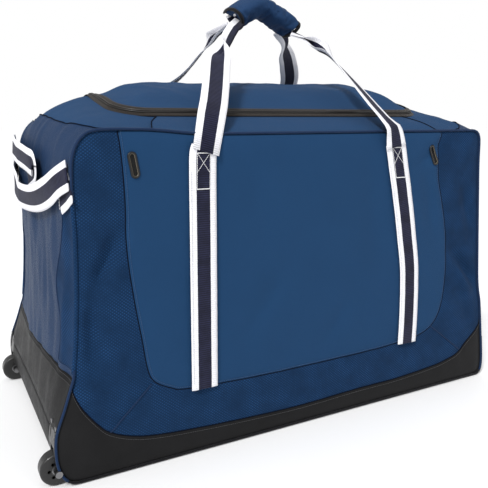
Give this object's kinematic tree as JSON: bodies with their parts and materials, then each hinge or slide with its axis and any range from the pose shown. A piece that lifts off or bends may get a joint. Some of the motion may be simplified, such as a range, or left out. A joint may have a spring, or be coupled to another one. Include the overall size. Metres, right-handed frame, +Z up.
{
  "type": "hockey equipment bag",
  "caption": "Large wheeled hockey equipment bag with a stiff base, zipped domed top flap, paired webbing carry loops in a padded grip, and slack grab straps on both ends.",
  "frame": {"origin": "on the floor under the centre of the bounding box", "axes": "+X along the bag from the wheel end to the tow end, -Y the front, +Z up"},
  "size_m": [0.948, 0.5132, 0.7785],
  "materials": {
    "navy_cloth": "plain woven polyester",
    "navy_mesh": "textured diagonal weave",
    "navy_satin": "smooth coated cloth",
    "charcoal_tarpaulin": "satin coated tarpaulin",
    "webbing": "ribbed webbing, pale edges and a dark middle",
    "grip_cloth": "padded woven cloth",
    "binding_tape": "folded binding tape",
    "piping": "corded piping",
    "zip_tape": "woven zip tape",
    "zip_coil": "nylon coil",
    "zip_metal": "black enamel",
    "board": "sheet plastic stiffener",
    "black_plastic": "pebbled moulding",
    "screen": "fine net",
    "tyre": "smooth polyurethane",
    "hub_plastic": "moulded nylon",
    "steel": "zinc plated"
  },
  "bodies": {
    "bag": {"back_left_sewn_strap": "webbing", "back_panel": "navy_mesh", "back_piping": "piping", "back_right_sewn_strap": "webbing", "back_top_gusset": "navy_cloth", "bag_zip_coil": "zip_coil", "bag_zip_tape": "zip_tape", "base_board": "board", "base_cover": "charcoal_tarpaulin", "front_axle_bolt": "steel", "front_axle_nut": "steel", "front_axle_spacers": "steel", "front_left_sewn_strap": "webbing", "front_overlay_panel": "navy_cloth", "front_panel": "navy_mesh", "front_piping": "piping", "front_right_sewn_strap": "webbing", "front_top_gusset": "navy_cloth", "front_wheel_housing": "black_plastic", "housing_rivets": "steel", "rear_axle_bolt": "steel", "rear_axle_nut": "steel", "rear_axle_spacers": "steel", "rear_wheel_housing": "black_plastic", "tow_corner_guards": "black_plastic", "tow_end_panel": "navy_satin", "tow_end_strap_anchors": "webbing", "tow_end_top_gusset": "navy_satin", "vent_frames": "black_plastic", "vent_screens": "screen", "wheel_end_panel": "navy_satin", "wheel_end_strap_anchors": "webbing", "wheel_end_top_gusset": "navy_satin"},
    "lid": {"lid_panel": "navy_cloth", "lid_zip_tape": "zip_tape", "lid_zip_coil": "zip_coil"},
    "wheel_end_slider": {"wheel_end_zip_slider": "zip_metal"},
    "wheel_end_pull": {"wheel_end_zip_pull": "zip_metal"},
    "tow_end_slider": {"tow_end_zip_slider": "zip_metal"},
    "tow_end_pull": {"tow_end_zip_pull": "zip_metal"},
    "front_wheel": {"front_tyre": "tyre", "front_wheel_hub": "hub_plastic", "front_wheel_bearings": "steel"},
    "rear_wheel": {"rear_tyre": "tyre", "rear_wheel_hub": "hub_plastic", "rear_wheel_bearings": "steel"},
    "front_handle": {"front_carry_loop": "webbing", "grip_pad": "grip_cloth", "grip_binding": "binding_tape"},
    "back_handle": {"back_carry_loop": "webbing"},
    "wheel_end_grab": {"wheel_end_drooping_strap": "webbing", "wheel_end_folded_strap": "webbing"},
    "tow_end_grab": {"tow_end_drooping_strap": "webbing"}
  },
  "joints": [
    {"name": "lid_hinge", "type": "hinge", "parent": "bag", "child": "lid", "pos_m": [0.01, 0.17, 0.568], "axis": [-1, 0, 0], "range_deg": [0, 110]},
    {"name": "front_handle_swing", "type": "hinge", "parent": "bag", "child": "front_handle", "pos_m": [0.01, -0.2574, 0.548], "axis": [1, 0, 0], "range_deg": [0, 210]},
    {"name": "back_handle_swing", "type": "hinge", "parent": "bag", "child": "back_handle", "pos_m": [0.01, 0.2574, 0.548], "axis": [-1, 0, 0], "range_deg": [0, 210]},
    {"name": "front_wheel_spin", "type": "hinge", "parent": "bag", "child": "front_wheel", "pos_m": [-0.448, -0.221, 0.026], "axis": [0, 1, 0], "continuous": true},
    {"name": "rear_wheel_spin", "type": "hinge", "parent": "bag", "child": "rear_wheel", "pos_m": [-0.448, 0.221, 0.026], "axis": [0, 1, 0], "continuous": true},
    {"name": "wheel_end_grab_swing", "type": "hinge", "parent": "bag", "child": "wheel_end_grab", "pos_m": [-0.4428, 0, 0.536], "axis": [0, 1, 0], "range_deg": [0, 110]},
    {"name": "tow_end_grab_swing", "type": "hinge", "parent": "bag", "child": "tow_end_grab", "pos_m": [0.45005, 0, 0.536], "axis": [0, -1, 0], "range_deg": [0, 110]},
    {"name": "wheel_end_slider_slide", "type": "slide", "parent": "lid", "child": "wheel_end_slider", "axis": [0, -0.9759, 0.2181], "range_m": [0, 0.115]},
    {"name": "wheel_end_pull_flip", "type": "hinge", "parent": "wheel_end_slider", "child": "wheel_end_pull", "pos_m": [-0.316, 0.12935, 0.59004], "axis": [1, 0, 0], "range_deg": [0, 165]},
    {"name": "tow_end_slider_slide", "type": "slide", "parent": "lid", "child": "tow_end_slider", "axis": [0, -0.9759, 0.2181], "range_m": [0, 0.115]},
    {"name": "tow_end_pull_flip", "type": "hinge", "parent": "tow_end_slider", "child": "tow_end_pull", "pos_m": [0.336, 0.12935, 0.59004], "axis": [1, 0, 0], "range_deg": [0, 165]}
  ],
  "couplings": [
    {"joint": "front_handle_swing", "follows": "lid_hinge", "ratio": 1.9},
    {"joint": "back_handle_swing", "follows": "lid_hinge", "ratio": 1.9}
  ]
}
